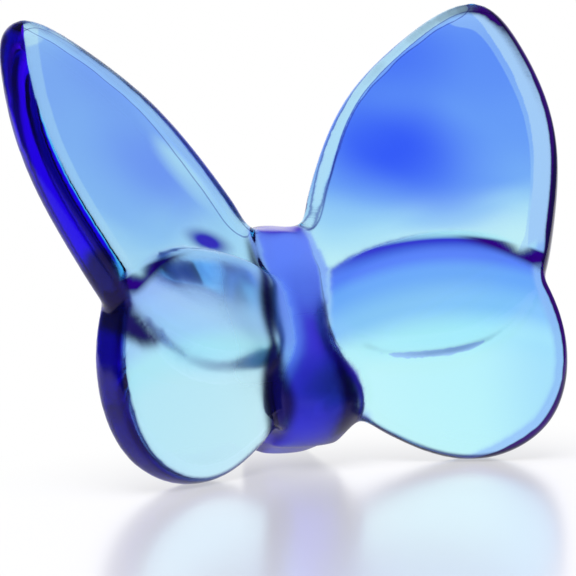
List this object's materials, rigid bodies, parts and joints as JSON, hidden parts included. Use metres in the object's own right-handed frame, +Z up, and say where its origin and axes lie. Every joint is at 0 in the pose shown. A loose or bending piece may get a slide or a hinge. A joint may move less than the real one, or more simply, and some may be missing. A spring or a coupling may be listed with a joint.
{
  "type": "butterfly ornament",
  "caption": "Free-standing butterfly ornament of clear blue crystal glass, with lobed wings swept forward and a flat foot to rest on.",
  "frame": {"origin": "the middle of the flat face under the body's foot, on the surface that the ornament stands on", "axes": "+Z up, -Y to the front, where the body bulges and the wings' ends swing to, +X to the wing on the viewer's right"},
  "size_m": [0.0708, 0.0312, 0.0529],
  "materials": {
    "blue_crystal": "fire-polished clear crystal, tinted blue through its depth"
  },
  "bodies": {
    "root": {"body": "blue_crystal", "left_forewing": "blue_crystal", "left_hindwing": "blue_crystal", "right_forewing": "blue_crystal", "right_hindwing": "blue_crystal"}
  },
  "joints": []
}
